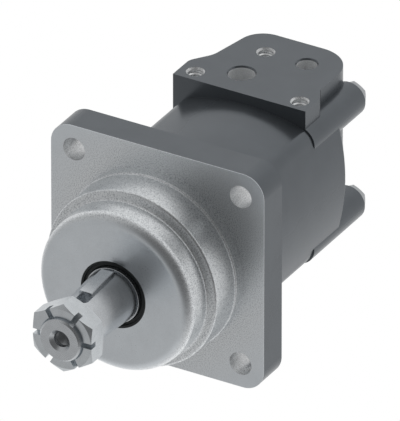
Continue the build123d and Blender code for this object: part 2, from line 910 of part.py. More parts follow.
def star_point(turn):
    """Star outline: the path of a roller centre seen from the star, moved in by the roller."""
    teeth = ring_rollers
    p = roller_circle_r * math.cos(turn) - eccentricity * math.cos(teeth * turn)
    q = roller_circle_r * math.sin(turn) - eccentricity * math.sin(teeth * turn)
    dp = -roller_circle_r * math.sin(turn) + teeth * eccentricity * math.sin(teeth * turn)
    dq = roller_circle_r * math.cos(turn) - teeth * eccentricity * math.cos(teeth * turn)
    speed = math.hypot(dp, dq)
    inset = geroler_roller_r + running_fit
    p = p - inset * dq / speed
    q = q + inset * dp / speed
    return q, p


def geroler_star():
    """Star that rolls inside the rollers; it lies towards the top roller at rest."""
    count = star_lobes * star_points_per_lobe
    points = [star_point(2 * math.pi * index / count) for index in range(count)]
    outline = make_face(Wire([Spline(points, periodic=True)]))
    start = ring_y + face_fit
    end = valve_plate_y - face_fit
    body = prism(outline, start, end) - drive_spline_hole(start, end)
    return Pos(0, 0, eccentricity) * body


def crowned_head(teeth, tip_r, root_r, tooth_width, half_len, crown_r):
    """External spline head about the origin, with crowned tips and flanks."""
    drop = crown_r - math.sqrt(crown_r ** 2 - half_len ** 2)
    edge_r = tip_r - drop
    side = tooth_width / 2
    edge_side = side - drop
    envelope = revolve(
        make_face(Wire([
            Line((0, -half_len), (edge_r, -half_len)),
            ThreePointArc((edge_r, -half_len), (tip_r, 0), (edge_r, half_len)),
            Line((edge_r, half_len), (0, half_len)),
            Line((0, half_len), (0, -half_len)),
        ])),
        Axis.Y,
    )
    flank = make_face(Wire([
        ThreePointArc((edge_side, -half_len), (side, 0), (edge_side, half_len)),
        Line((edge_side, half_len), (-edge_side, half_len)),
        ThreePointArc((-edge_side, half_len), (-side, 0), (-edge_side, -half_len)),
        Line((-edge_side, -half_len), (edge_side, -half_len)),
    ]))
    blanks = fuse(turned_copies(extrude(flank, 2 * tip_r), teeth))
    return disc_solid(root_r, -half_len, half_len) + (blanks & envelope)


def nose(reach, radius, start):
    """Round ended nose along +Y: a ball about the origin cut to a stub."""
    edge_y = math.sqrt(reach ** 2 - radius ** 2)
    half_angle = math.asin(radius / reach) / 2
    arc_middle = (reach * math.sin(half_angle), reach * math.cos(half_angle))
    return revolve(
        make_face(Wire([
            Line((0, start), (radius, start)),
            Line((radius, start), (radius, edge_y)),
            ThreePointArc((radius, edge_y), arc_middle, (0, reach)),
            Line((0, reach), (0, start)),
        ])),
        Axis.Y,
    )


def place_link(solid, pivot_y, pivot_z, tilt):
    """Put a link that was drawn along +Y on its slanted axis."""
    return Pos(0, pivot_y, pivot_z) * Rot(math.degrees(tilt), 0, 0) * solid


def main_drive_link():
    """Link from the shaft's socket to the star, drawn with its front pivot at the origin."""
    length = math.hypot(main_rear_pivot_y - main_pivot_front_y, eccentricity)
    tip_r = spline_major_r - spline_tip_gap
    sizes = (spline_teeth, tip_r, spline_root_r, spline_tooth_width)
    front = crowned_head(*sizes, main_head_front_half, main_crown_r)
    rear = crowned_head(*sizes, main_head_rear_half, main_crown_r)
    shank = disc_solid(main_shank_r, 0, length)
    front_reach = main_pivot_front_y - socket_floor_y - nose_gap
    front_nose = Rot(0, 0, 180) * nose(front_reach, main_nose_front_r, 0)
    rear_nose = nose(spacer_front_y() - nose_gap - main_rear_pivot_y, main_nose_rear_r, 0)
    link = fuse([front, shank, Pos(0, length, 0) * rear, front_nose, Pos(0, length, 0) * rear_nose])
    return place_link(link, main_pivot_front_y, 0, main_tilt)


def spacer_middle_y():
    """Half way between the inner ends of the two link heads in the star."""
    return (main_rear_pivot_y + main_head_rear_half + valve_front_pivot_y - valve_head_front_half) / 2


def spacer_thick():
    """Thickness that leaves both link heads room for a short round nose."""
    gap = valve_front_pivot_y - valve_head_front_half - main_rear_pivot_y - main_head_rear_half
    return gap - 2 * link_nose_len


def spacer_front_y():
    return spacer_middle_y() - spacer_thick() / 2


def spacer_rear_y():
    return spacer_middle_y() + spacer_thick() / 2


def drive_spacer():
    """Disc in the star's bore that keeps the two links apart, thick at its middle."""
    middle = spacer_middle_y()
    rim_r = spline_minor_r - running_fit * 2
    rim_half = spacer_rim_thick / 2
    body = turned([
        (0, spacer_front_y(), 0),
        (spacer_hub_r, spacer_front_y(), 0),
        (spacer_hub_r + spacer_hub_slope, middle - rim_half, 0),
        (rim_r, middle - rim_half, spacer_rim_edge_r),
        (rim_r, middle + rim_half, spacer_rim_edge_r),
        (spacer_hub_r + spacer_hub_slope, middle + rim_half, 0),
        (spacer_hub_r, spacer_rear_y(), 0),
        (0, spacer_rear_y(), 0),
    ])
    return Pos(0, 0, eccentricity) * body


def valve_drive_link():
    """Short link from the star to the valve disc, front pivot at the origin."""
    length = math.hypot(valve_rear_pivot_y - valve_front_pivot_y, eccentricity)
    front = crowned_head(
        spline_teeth,
        spline_major_r - spline_tip_gap,
        spline_root_r,
        spline_tooth_width,
        valve_head_front_half,
        valve_crown_r,
    )
    rear = crowned_head(
        valve_spline_teeth,
        valve_spline_major_r - spline_tip_gap,
        valve_spline_root_r,
        valve_tooth_width,
        valve_head_rear_half,
        valve_crown_r,
    )
    shank = disc_solid(valve_shank_r, 0, length)
    front_reach = valve_front_pivot_y - spacer_rear_y() - nose_gap
    front_nose = Rot(0, 0, 180) * nose(front_reach, valve_nose_front_r, 0)
    rear_reach = disc_floor_y - nose_gap - valve_rear_pivot_y
    rear_nose = Pos(0, length, 0) * nose(rear_reach, valve_nose_rear_r, 0)
    link = fuse([front, shank, Pos(0, length, 0) * rear, front_nose, rear_nose])
    return place_link(link, valve_front_pivot_y, eccentricity, -valve_tilt)


def valve_plate():
    """Fixed plate with one passage from each geroler pocket to the valve face."""
    middle = (valve_plate_y + valve_case_y) / 2
    body = barrel_slice(valve_plate_y, valve_case_y)
    body = body - disc_solid(valve_plate_bore_r, valve_plate_y, valve_case_y)
    slot_end = middle + passage_overlap
    slot = sector(pocket_slot_inner_r, pocket_slot_outer_r, pocket_slot_half_deg, valve_plate_y, slot_end)
    window_start = middle - passage_overlap
    window = sector(window_inner_r, window_outer_r, plate_window_half_deg, window_start, valve_case_y)
    passage = fuse([slot, window])
    body = body - turned_copies(passage, ring_rollers, roller_angle(0.5))
    return body - seal_groove(valve_plate_y, section_seal_depth)


def valve_disc():
    """Turning valve: six windows open outwards and six lead back through the disc."""
    start = valve_case_y + face_fit
    end = disc_rear_y
    body = disc_solid(disc_r, start, end)
    mouth = disc_solid(valve_plate_bore_r, start, start + disc_mouth_depth)
    width = groove_width(valve_tooth_width, valve_crown_r, valve_tilt)
    hole = spline_hole(
        valve_spline_teeth, valve_spline_minor_r, valve_spline_major_r, width, start, disc_floor_y,
    )
    floor = start + disc_window_depth
    outward = sector(window_inner_r, disc_r + cut_over, disc_window_half_deg, start, floor)
    inward = fuse([
        sector(window_inner_r, window_outer_r, disc_window_half_deg, start, floor),
        sector(disc_return_inner_r, disc_return_outer_r, disc_window_half_deg, floor - cut_over, end),
    ])
    cuts = turned_copies(outward, star_lobes, disc_window_phase_deg)
    cuts = cuts + turned_copies(inward, star_lobes, disc_window_phase_deg + 180 / star_lobes)
    return body - [mouth, hole] - cuts


def at_pins(radius, y0, y1):
    """A rod at each locating pin."""
    return [rod(*around(angle, pin_circle_r), radius, y0, y1) for angle in pin_angles_deg]


def balance_ring():
    """Fixed ring that a spring presses against the back of the valve disc."""
    start = disc_rear_y + face_fit
    groove_end = balance_groove_y + balance_seal_width
    body = turned([
        (disc_return_inner_r, start + balance_recess, 0),
        (balance_land_r, start + balance_recess, 0),
        (balance_land_r, start, 0),
        (disc_r, start, balance_edge_r),
        (disc_r, balance_rear_y, balance_edge_r),
        (balance_sleeve_r, balance_rear_y, balance_edge_r),
        (balance_sleeve_r, sleeve_end_y, balance_edge_r),
        (disc_return_inner_r, sleeve_end_y, 0),
    ])
    groove_floor_r = balance_sleeve_r - balance_seal_depth
    groove = ring_solid(groove_floor_r, balance_sleeve_r + cut_over, balance_groove_y, groove_end)
    notches = at_pins(pin_r + running_fit, start, balance_rear_y)
    return body - [groove] - notches


def balance_ring_seal():
    inner_r = balance_sleeve_r - balance_seal_depth + static_fit
    outer_r = balance_sleeve_r + sleeve_fit / 2
    end = balance_groove_y + balance_seal_width - static_fit
    return ring_solid(inner_r, outer_r, balance_groove_y + static_fit, end)


def disc_spring():
    """Coned spring washer between the balance ring's flange and the room's floor."""
    front = balance_rear_y + static_fit
    back = valve_room_end - static_fit
    return turned([
        (disc_spring_inner_r, back - disc_spring_thick, 0),
        (disc_spring_outer_r, front, 0),
        (disc_spring_outer_r, front + disc_spring_thick, 0),
        (disc_spring_inner_r, back, 0),
    ])


def locating_pins():
    """Two pins that keep the balance ring from turning."""
    end = valve_room_end + pin_hole_depth - static_fit
    return Compound(at_pins(pin_r, disc_rear_y + pin_set_back, end))


def port_block_outline():
    """Plan of the port block, drawn from the front face of the valve housing."""
    y = valve_case_y
    neck_x, neck_y = block_left_neck
    return make_face(rounded_wire([
        (block_left_x, y, 0),
        (block_left_x, y + block_left_len, block_left_r),
        (neck_x, y + neck_y, block_left_neck_r),
        (lobe_rear_left_x, y + lobe_len, lobe_left_r),
        (lobe_right_x, y + lobe_len, lobe_right_r),
        (lobe_right_x, y + lobe_right_start, block_right_r),
        (block_right_x, y + block_right_len, block_right_r),
        (block_right_x, y, 0),
    ]))


def rear_hub():
    """Round rear of the valve housing over the return room."""
    y = valve_case_y
    return turned([
        (0, y, 0),
        (hub_root_r, y, 0),
        (hub_root_r, y + hub_root_len, hub_root_edge_r),
        (hub_r, y + hub_root_len, hub_foot_r),
        (hub_r, y + hub_len, hub_edge_r),
        (0, y + hub_len, 0),
    ])


def face_hole(position, radius, mouth_rise, depth, point=0.0):
    """Hole down from the port face, with a bevelled mouth and, if it is blind, a drill point."""
    x, y = position
    profile = rounded_wire([
        (0, 0, 0),
        (radius + mouth_rise, 0, 0),
        (radius, -mouth_depth, 0),
        (radius, -depth, 0),
        (0, -depth - point, 0),
    ])
    cutter = revolve(Plane.XZ * make_face(profile), Axis.Z)
    return Pos(x, valve_case_y + y, port_face_z) * cutter


def ports():
    """Two ports that lead down into the rooms of the housing."""
    return [
        face_hole(port_a_pos, port_a_r, port_mouth_rise, port_face_z - port_a_floor_z),
        face_hole(port_b_pos, port_b_r, port_mouth_rise, port_face_z - port_b_floor_z),
    ]


def fixing_holes():
    """Blind holes in the port face for the screws of a manifold."""
    point = fixing_hole_r * drill_point_slope
    return [
        face_hole(position, fixing_hole_r, fixing_mouth_rise, fixing_depth, point)
        for position in fixing_positions
    ]


def valve_rooms():
    return [
        disc_solid(valve_room_r, valve_case_y, valve_room_end),
        disc_solid(balance_sleeve_r + sleeve_fit, valve_room_end, sleeve_bore_end),
        disc_solid(return_room_r, sleeve_bore_end, return_room_end),
    ]


def valve_housing():
    barrel = prism(barrel_section(), valve_case_y, valve_case_end)
    barrel = fillet(barrel.faces().sort_by(Axis.Y)[-1].edges(), case_edge_r)
    bosses = [rod(x, z, boss_r, valve_case_y, boss_end_y) for x, z in bolt_centres]
    block = extrude(port_block_outline(), port_face_z)
    body = fuse([barrel, rear_hub(), block, *bosses])
    body = body - valve_rooms()
    body = body - bolt_holes(valve_case_y, boss_end_y, bolt_hole_r)
    body = body - bolt_holes(boss_end_y, valve_case_y + lobe_len + cut_over, head_room_r)
    body = body - ports() - fixing_holes()
    pin_holes = at_pins(pin_r + static_fit, valve_room_end, valve_room_end + pin_hole_depth)
    return body - pin_holes - [seal_groove(valve_case_y, section_seal_depth)]


def assembly_bolt(x, z):
    """Long hexagon bolt from a boss at the rear into the bearing housing."""
    head_end = boss_end_y + bolt_head_len
    corner_r = over_corners(bolt_head_flats)
    envelope = turned([
        (0, boss_end_y, 0),
        (corner_r, boss_end_y, 0),
        (corner_r, head_end - bolt_chamfer, 0),
        (bolt_head_face_r, head_end, 0),
        (0, head_end, 0),
    ])
    head = hexagon_bar(bolt_head_flats, boss_end_y, head_end) & envelope
    tip = bearing_housing_end - bolt_thread_depth
    shank = turned([
        (0, tip, 0),
        (bolt_r - bolt_chamfer, tip, 0),
        (bolt_r, tip + bolt_chamfer, 0),
        (bolt_r, boss_end_y + cut_over, 0),
        (0, boss_end_y + cut_over, 0),
    ])
    return Pos(x, 0, z) * (head + shank)


def assembly_bolts():
    return Compound([assembly_bolt(x, z) for x, z in bolt_centres])


def section_seals():
    """Start of each square cut seal between two bodies of the stack."""
    return [
        bearing_housing_end - section_seal_depth,
        ring_y - section_seal_depth,
        valve_plate_y - static_fit,
        valve_case_y - static_fit,
    ]


def build():
    front = TaperedBearing(
        front_bearing_bore_r, front_bearing_outer_r, front_bearing_width, front_cup_width, front_cone_width,
        front_roller_len,
    )
    rear = TaperedBearing(
        rear_bearing_bore_r, rear_bearing_outer_r, rear_bearing_width, rear_cup_width, rear_cone_width,
        rear_roller_len,
    )
    nodes = {
        "bearing_housing": bearing_housing(),
        "output_shaft": output_shaft(),
        "shaft_key": shaft_key(),
        "castle_nut": castle_nut(),
        "dust_seal": dust_seal(),
        "shaft_seal": shaft_seal(),
        "front_bearing_cup": front_bearing(front.cup()),
        "front_bearing_cone": front_bearing(front.cone()),
        "front_bearing_rollers": front_bearing(front.rollers()),
        "front_bearing_cage": front_bearing(front.cage()),
        "rear_bearing_cup": rear_bearing(rear.cup()),
        "rear_bearing_cone": rear_bearing(rear.cone()),
        "rear_bearing_rollers": rear_bearing(rear.rollers()),
        "rear_bearing_cage": rear_bearing(rear.cage()),
        "preload_shim": preload_shim(),
        "bearing_retainer": bearing_retainer(),
        "wear_plate": wear_plate(),
        "geroler_ring": geroler_ring(),
        "geroler_star": geroler_star(),
        "main_drive_link": main_drive_link(),
        "drive_spacer": drive_spacer(),
        "valve_drive_link": valve_drive_link(),
        "valve_plate": valve_plate(),
        "valve_disc": valve_disc(),
        "balance_ring": balance_ring(),
        "balance_ring_seal": balance_ring_seal(),
        "disc_spring": disc_spring(),
        "locating_pins": locating_pins(),
        "valve_housing": valve_housing(),
        "assembly_bolts": assembly_bolts(),
    }
    for index in range(ring_rollers):
        nodes[f"geroler_roller_{index + 1}"] = geroler_roller(index)
    for index, start in enumerate(section_seals()):
        nodes[f"section_seal_{index + 1}"] = section_seal(start)
    return nodes


os.makedirs("parts", exist_ok=True)
for name, solid in build().items():
    export_step(solid, f"parts/{name}.step")
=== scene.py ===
import json
import math
from collections import namedtuple

import bmesh
import bpy
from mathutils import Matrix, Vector


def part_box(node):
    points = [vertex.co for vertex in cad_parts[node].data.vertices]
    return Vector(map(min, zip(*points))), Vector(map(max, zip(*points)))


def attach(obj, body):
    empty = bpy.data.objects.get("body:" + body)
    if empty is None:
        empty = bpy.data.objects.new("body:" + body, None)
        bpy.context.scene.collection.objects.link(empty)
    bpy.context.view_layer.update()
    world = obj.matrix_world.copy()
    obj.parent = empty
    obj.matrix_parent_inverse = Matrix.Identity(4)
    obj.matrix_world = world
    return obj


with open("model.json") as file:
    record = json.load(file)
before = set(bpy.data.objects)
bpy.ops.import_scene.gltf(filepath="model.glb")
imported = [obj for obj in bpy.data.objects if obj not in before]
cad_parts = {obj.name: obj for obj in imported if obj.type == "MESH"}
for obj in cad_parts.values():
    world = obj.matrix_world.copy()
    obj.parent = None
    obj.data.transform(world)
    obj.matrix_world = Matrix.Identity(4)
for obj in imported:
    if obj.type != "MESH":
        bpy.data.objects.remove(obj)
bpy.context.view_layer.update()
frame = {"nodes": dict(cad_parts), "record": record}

MM = 0.001
NODES = frame["nodes"]
MOUNTS = {mount["name"]: mount for mount in frame["record"]["mounts"]}
HOUSING_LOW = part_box("bearing_housing")[0]
SHAFT_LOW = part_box("output_shaft")[0]
VALVE_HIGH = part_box("valve_housing")[1]

# Camera: a long lens far away, because the photograph is a parallel projection
AZIMUTH = math.radians(30)
ELEVATION = math.radians(30)
LENS_MM = 670.0
SENSOR_MM = 15.0
CLIP_NEAR = 0.1
CLIP_FAR = 100.0
PICTURE_HEIGHT = 228.6 * MM
AIM = Vector((13.86, 22.38, 21.57)) * MM

# Floor: how far below the motor, and half its side
FLOOR_DROP = 0.45
FLOOR_HALF = 6.0

# Studio: the room is bright at the back and grey in front, darker behind the camera and slightly
# on the right, with some light from below. Each edge is a pair of angles from its way, in degrees.
FRONT_LIGHT = 0.41
BACK_LIGHT = 0.75
BACK_WAY = Vector((0, 1, 0))
BACK_EDGE_DEG = (60, 100)
DARK_WAY = Vector((0.6, -0.7, 0.35))
DARK_EDGE_DEG = (27, 68)
DARK_SHARE = 0.31
RIGHT_WAY = Vector((0.6, 0.75, 0.1))
RIGHT_EDGE_DEG = (10, 50)
RIGHT_SHARE = 0.86
LOW_LIGHT = 0.20
LOW_WAY = Vector((0, 0, -1))
LOW_EDGE_DEG = (0, 60)
BACKDROP_WHITE = 1.0

# Colours, linear
WHITE = (1.0, 1.0, 1.0, 1.0)
NO_COLOUR = (0.0, 0.0, 0.0, 1.0)
SILVER = (0.845, 0.888, 0.925)
# Lighter silver of the round steps: a painted highlight
PAINTED_HIGHLIGHT_SILVER = (0.96, 0.985, 1.0)
PAINT = (0.158, 0.174, 0.191)
STEEL = (0.70, 0.725, 0.75)
NUT_GREY = (0.74, 0.775, 0.80)
BOLT_GREY = (0.50, 0.515, 0.53)
BRIGHT = (0.95, 0.965, 0.975)
BLACK = (0.012, 0.015, 0.016)
CAGE_BRONZE = (0.70, 0.62, 0.48)

# Most values of a noise node lie between these
NOISE_LOW = 0.3
NOISE_HIGH = 0.7

# Painted castings: size of the cloud and grain, height of the bump
PAINT_CLOUD = 14 * MM
PAINT_GRAIN = 0.6 * MM
PAINT_BUMP = 0.004 * MM
PAINT_ROUGH = (0.21, 0.26)
PAINT_METAL = 0.6

# Blasted silver front. Between these radii its round steps are more speckled, and a painted
# highlight makes them lighter
FRONT_EDGE = (0.35 * MM, 0.25 * MM)
STEPS_INNER = (44 * MM, 47 * MM)
STEPS_OUTER = (84 * MM, 56 * MM)
SILVER_CLOUD = 9 * MM
SILVER_GRAIN = 0.6 * MM
SILVER_RINGS = 0.5 * MM
SILVER_BUMP = 0.05 * MM
SILVER_ROUGH = (0.27, 0.37)
SPOT_EDGE = (0.48, 0.6)
SPOT_SHADE = 0.58
SPOTS_OFF_STEPS = 0.12
GRAIN_SHARE = 0.8
RINGS_SHARE = 0.2

# Drilled bores; in the port face they start at this height
BORE_GRAIN = 0.6 * MM
BORE_BUMP = 0.1 * MM
BORE_ROUGH = (0.25, 0.5)
GLITTER_EDGE = (0.42, 0.58)
BORE_START = (53.25 * MM, 53.2 * MM)
FIXING_MOUTH = 1.2 * MM

# Turned and ground steel
TURNED_CLOUD = 5 * MM
TURNED_GRAIN = 0.35 * MM
TURNED_RINGS = 0.25 * MM
TURNED_BUMP = 0.012 * MM
POLISHED_BUMP = 0.003 * MM
SHEET_BUMP = 0.004 * MM
GROUND_CLOUD = 4 * MM
GROUND_LINES = 0.3 * MM
GROUND_STRETCH = (1.0, 0.12, 1.0)
GROUND_BUMP = 0.006 * MM

# Rubber
RUBBER_BLOOM = 3 * MM
RUBBER_GRAIN = 0.15 * MM
RUBBER_BUMP = 0.01 * MM
RUBBER_ROUGH = (0.42, 0.55)
RUBBER_SPECULAR = 0.45

# Threads: shape as shares of the pitch, and where each starts below its face
THREAD_STEPS = 32
THREAD_DEPTH = 0.55
THREAD_HALF = 0.44
THREAD_SUNK = 0.03 * MM
THREAD_RUNOUT = 0.05
SHAFT_THREAD = {"pitch": 1.25 * MM, "length": 18 * MM}
SHAFT_THREAD_START = 3.2 * MM
FIXING_THREAD = {"pitch": 1.5 * MM, "length": 9 * MM}
FIXING_THREAD_START = 1.8 * MM
THREAD_SHADE = 0.6

Look = namedtuple("Look", "colour roughness normal metallic")


def scaled(colour, factor):
    return [channel * factor for channel in colour]


class Graph:
    """A material's node tree, with short calls for the nodes used here."""

    def __init__(self, name):
        self.material = bpy.data.materials.new(name)
        self.material.use_nodes = True
        self.tree = self.material.node_tree
        self.shader = self.tree.nodes["Principled BSDF"]

    def node(self, kind, **settings):
        made = self.tree.nodes.new(kind)
        for key, value in settings.items():
            setattr(made, key, value)
        return made

    def put(self, socket, value):
        """A socket takes another node's output, or a plain value."""
        if isinstance(value, bpy.types.NodeSocket):
            self.tree.links.new(value, socket)
        else:
            socket.default_value = value

    def math(self, operation, first, second=0.0):
        made = self.node("ShaderNodeMath", operation=operation)
        self.put(made.inputs[0], first)
        self.put(made.inputs[1], second)
        return made.outputs[0]

    def times(self, first, second):
        return self.math("MULTIPLY", first, second)

    def place(self):
        """Position on the piece in metres; it moves with the piece."""
        return self.node("ShaderNodeTexCoord").outputs["Object"]

    def axes(self):
        split = self.node("ShaderNodeSeparateXYZ")
        self.put(split.inputs[0], self.place())
        return split.outputs[0], split.outputs[1], split.outputs[2]

    def joined(self, x, y, z):
        made = self.node("ShaderNodeCombineXYZ")
        for socket, value in zip(made.inputs, (x, y, z)):
            self.put(socket, value)
        return made.outputs[0]

    def length(self, first, second):
        """Length of a vector with these two coordinates."""
        squares = self.math("ADD", self.times(first, first), self.times(second, second))
        return self.math("SQRT", squares)

    def noise(self, vector, cell, detail=2.0, roughness=0.5):
        """Noise whose lumps are about cell metres across, from 0 to 1."""
        made = self.node("ShaderNodeTexNoise")
        self.put(made.inputs["Vector"], vector)
        made.inputs["Scale"].default_value = 1 / cell
        made.inputs["Detail"].default_value = detail
        made.inputs["Roughness"].default_value = roughness
        return made.outputs["Fac"]

    def ramp(self, value, low, high, to_low=0.0, to_high=1.0):
        made = self.node("ShaderNodeMapRange")
        self.put(made.inputs["Value"], value)
        made.inputs["From Min"].default_value = low
        made.inputs["From Max"].default_value = high
        made.inputs["To Min"].default_value = to_low
        made.inputs["To Max"].default_value = to_high
        return made.outputs["Result"]

    def spread(self, noise, to_low=0.0, to_high=1.0):
        """A noise brought to a range of its own."""
        return self.ramp(noise, NOISE_LOW, NOISE_HIGH, to_low, to_high)

    def mixed(self, kind, share, first, second):
        """Mix node for two values of one kind; first where share is 0."""
        made = self.node("ShaderNodeMix", data_type=kind)
        self.put(made.inputs["Factor"], share)
        for name, value in (("A", first), ("B", second)):
            socket = next(s for s in made.inputs if s.name == name and s.type == kind)
            self.put(socket, value)
        return next(s for s in made.outputs if s.type == kind)

    def mix(self, share, first, second):
        """Mix of two colours, each an output or three numbers."""
        plain = bpy.types.NodeSocket
        pair = [value if isinstance(value, plain) else (*value, 1.0) for value in (first, second)]
        return self.mixed("RGBA", share, *pair)

    def clouded(self, base, noise, dark, light):
        """A colour that a noise makes a little darker and lighter."""
        return self.mix(self.spread(noise), scaled(base, dark), scaled(base, light))

    def blend_value(self, share, first, second):
        """first where share is 0 and second where it is 1."""
        rest = self.math("SUBTRACT", 1.0, share)
        return self.math("ADD", self.times(first, rest), self.times(second, share))

    def bump(self, height, depth):
        """Bump whose height of 0 to 1 stands for depth metres."""
        made = self.node("ShaderNodeBump")
        made.inputs["Strength"].default_value = 1.0
        made.inputs["Distance"].default_value = depth
        self.put(made.inputs["Height"], height)
        return made.outputs["Normal"]

    def shade(self, colour, roughness, normal=None, metallic=1.0):
        self.put(self.shader.inputs["Base Color"], colour)
        self.put(self.shader.inputs["Roughness"], roughness)
        self.put(self.shader.inputs["Metallic"], metallic)
        if normal is not None:
            self.put(self.shader.inputs["Normal"], normal)
        return self.material


def near_axis(graph, first, second, centre, radius, soft=0.05 * MM):
    """1 inside a cylinder about centre in two coordinates, 0 outside it."""
    dx = graph.math("SUBTRACT", first, centre[0])
    dy = graph.math("SUBTRACT", second, centre[1])
    return graph.ramp(graph.length(dx, dy), radius + 2 * soft, radius + soft)


def turning_marks(graph, cell):
    """Fine rings of a lathe tool about the Y axis: they follow radius and length."""
    x, y, z = graph.axes()
    return graph.noise(graph.joined(graph.length(x, z), y, 0.0), cell, 3.0, 0.6)


def paint_look(graph):
    """Satin grey coat over castings."""
    place = graph.place()
    cloud = graph.noise(place, PAINT_CLOUD, 3.0)
    grain = graph.noise(place, PAINT_GRAIN)
    colour = graph.clouded(PAINT, cloud, 0.96, 1.04)
    roughness = graph.spread(cloud, *PAINT_ROUGH)
    return Look(colour, roughness, graph.bump(grain, PAINT_BUMP), PAINT_METAL)


def silver_look(graph):
    """Fine blasted and turned front, more speckled on its round steps and lighter there by a
    painted highlight.
    """
    place = graph.place()
    x, _, z = graph.axes()
    radius = graph.length(x, z)
    steps = graph.times(graph.ramp(radius, *STEPS_INNER), graph.ramp(radius, *STEPS_OUTER))
    speckle = graph.noise(place, SILVER_GRAIN, 2.0, 0.8)
    cloud = graph.noise(place, SILVER_CLOUD)
    colour = graph.clouded(SILVER, cloud, 0.97, 1.02)
    # Painted highlight: the round steps are made lighter
    colour = graph.mix(steps, colour, PAINTED_HIGHLIGHT_SILVER)
    spots = graph.ramp(speckle, *SPOT_EDGE)
    spots = graph.times(spots, graph.ramp(steps, 0.0, 1.0, SPOTS_OFF_STEPS, 1.0))
    colour = graph.mix(spots, colour, scaled(SILVER, SPOT_SHADE))
    roughness = graph.spread(speckle, *SILVER_ROUGH)
    rings = turning_marks(graph, SILVER_RINGS)
    height = graph.math("ADD", graph.times(speckle, GRAIN_SHARE), graph.times(rings, RINGS_SHARE))
    return Look(colour, roughness, graph.bump(height, SILVER_BUMP), 1.0)


def bore_look(graph, metallic, dull):
    """Drilled and reamed bores: bright, with sparkling tool marks."""
    glitter = graph.noise(graph.place(), BORE_GRAIN, 2.0, 0.8)
    colour = graph.mix(graph.ramp(glitter, *GLITTER_EDGE), scaled(BRIGHT, dull), BRIGHT)
    roughness = graph.spread(glitter, *BORE_ROUGH)
    return Look(colour, roughness, graph.bump(glitter, BORE_BUMP), metallic)


def two_looks(graph, share, first, second):
    """first where share is 0 and second where it is 1."""
    return Look(
        graph.mix(share, first.colour, second.colour),
        graph.blend_value(share, first.roughness, second.roughness),
        graph.mixed("VECTOR", share, first.normal, second.normal),
        graph.blend_value(share, first.metallic, second.metallic),
    )


def bearing_housing_material():
    """Painted rim and barrel, blasted silver front, bright flange holes."""
    graph = Graph("cast_front_housing")
    x, y, z = graph.axes()
    front = graph.ramp(y, *FRONT_EDGE)
    bolts = MOUNTS["flange_bolts"]["dims"]
    offset = bolts["pcd_mm"] / 2 * math.sqrt(0.5) * MM
    radius = bolts["hole_r_mm"] * MM
    across = graph.math("ABSOLUTE", x)
    up = graph.math("ABSOLUTE", z)
    holes = near_axis(graph, across, up, (offset, offset), radius)
    look = two_looks(graph, front, paint_look(graph), silver_look(graph))
    return graph.shade(*two_looks(graph, holes, look, bore_look(graph, 1.0, 0.6)))


def valve_housing_material():
    """Painted casting with bright ports and fixing holes in the port face. In the deep ports the
    bright colour is partly bare metal and partly painted light.
    """
    graph = Graph("cast_valve_housing")
    x, y, z = graph.axes()
    below = graph.ramp(z, *BORE_START)
    look = paint_look(graph)
    for names, mouth, bore in (
        # Ports: bare metal, kept near white as painted light that lifts the shade deep in the
        # bores
        (("port_a", "port_b"), 0.0, bore_look(graph, 0.0, 0.85)),
        (("fixing_left", "fixing_right", "fixing_rear"), FIXING_MOUTH, bore_look(graph, 1.0, 0.6)),
    ):
        holes = 0.0
        for name in names:
            radius = MOUNTS[name]["dims"]["r_mm"] * MM + mouth
            hole = near_axis(graph, x, y, MOUNTS[name]["pos_m"], radius)
            holes = graph.math("MAXIMUM", holes, hole)
        look = two_looks(graph, graph.times(holes, below), look, bore)
    return graph.shade(*look)


def paint_material():
    graph = Graph("cast_barrel")
    return graph.shade(*paint_look(graph))


def turned_steel(name, base, low, high, depth=TURNED_BUMP):
    """Steel turned about the Y axis: rings in the bump, a little cloud in the colour."""
    graph = Graph(name)
    place = graph.place()
    cloud = graph.noise(place, TURNED_CLOUD, 3.0)
    speckle = graph.noise(place, TURNED_GRAIN, 2.0, 0.7)
    rings = turning_marks(graph, TURNED_RINGS)
    colour = graph.clouded(base, cloud, 0.95, 1.04)
    roughness = graph.spread(speckle, low, high)
    height = graph.math("ADD", graph.times(rings, 0.5), graph.times(speckle, 0.5))
    return graph.shade(colour, roughness, graph.bump(height, depth))


def ground_steel(name, base, low, high):
    """Milled or ground steel with faint lines along the shaft."""
    graph = Graph(name)
    place = graph.place()
    stretch = graph.node("ShaderNodeMapping")
    graph.put(stretch.inputs["Vector"], place)
    stretch.inputs["Scale"].default_value = GROUND_STRETCH
    lines = graph.noise(stretch.outputs[0], GROUND_LINES)
    cloud = graph.noise(place, GROUND_CLOUD)
    colour = graph.clouded(base, cloud, 0.95, 1.04)
    roughness = graph.spread(lines, low, high)
    return graph.shade(colour, roughness, graph.bump(lines, GROUND_BUMP))


def rubber_material():
    """Black rubber with a faint grey bloom."""
    graph = Graph("black_rubber")
    place = graph.place()
    bloom = graph.noise(place, RUBBER_BLOOM, 3.0)
    grain = graph.noise(place, RUBBER_GRAIN)
    colour = graph.mix(graph.ramp(bloom, 0.35, 0.7), BLACK, scaled(BLACK, 1.9))
    roughness = graph.spread(bloom, *RUBBER_ROUGH)
    material = graph.shade(colour, roughness, graph.bump(grain, RUBBER_BUMP), 0.0)
    graph.shader.inputs["Specular IOR Level"].default_value = RUBBER_SPECULAR
    return material


def floor_material():
    """White that is lit all over, like a light table."""
    graph = Graph("pale_floor")
    material = graph.shade(NO_COLOUR, 1.0, None, 0.0)
    graph.shader.inputs["Specular IOR Level"].default_value = 0.0
    graph.shader.inputs["Emission Color"].default_value = WHITE
    graph.shader.inputs["Emission Strength"].default_value = BACKDROP_WHITE
    return material


def dress(material, *names):
    """Give the named CAD nodes one material."""
    for name in names:
        slots = NODES[name].data.materials
        slots.clear()
        slots.append(material)


def dress_castings():
    dress(bearing_housing_material(), "bearing_housing")
    dress(valve_housing_material(), "valve_housing")
    dress(paint_material(), "wear_plate", "geroler_ring", "valve_plate")


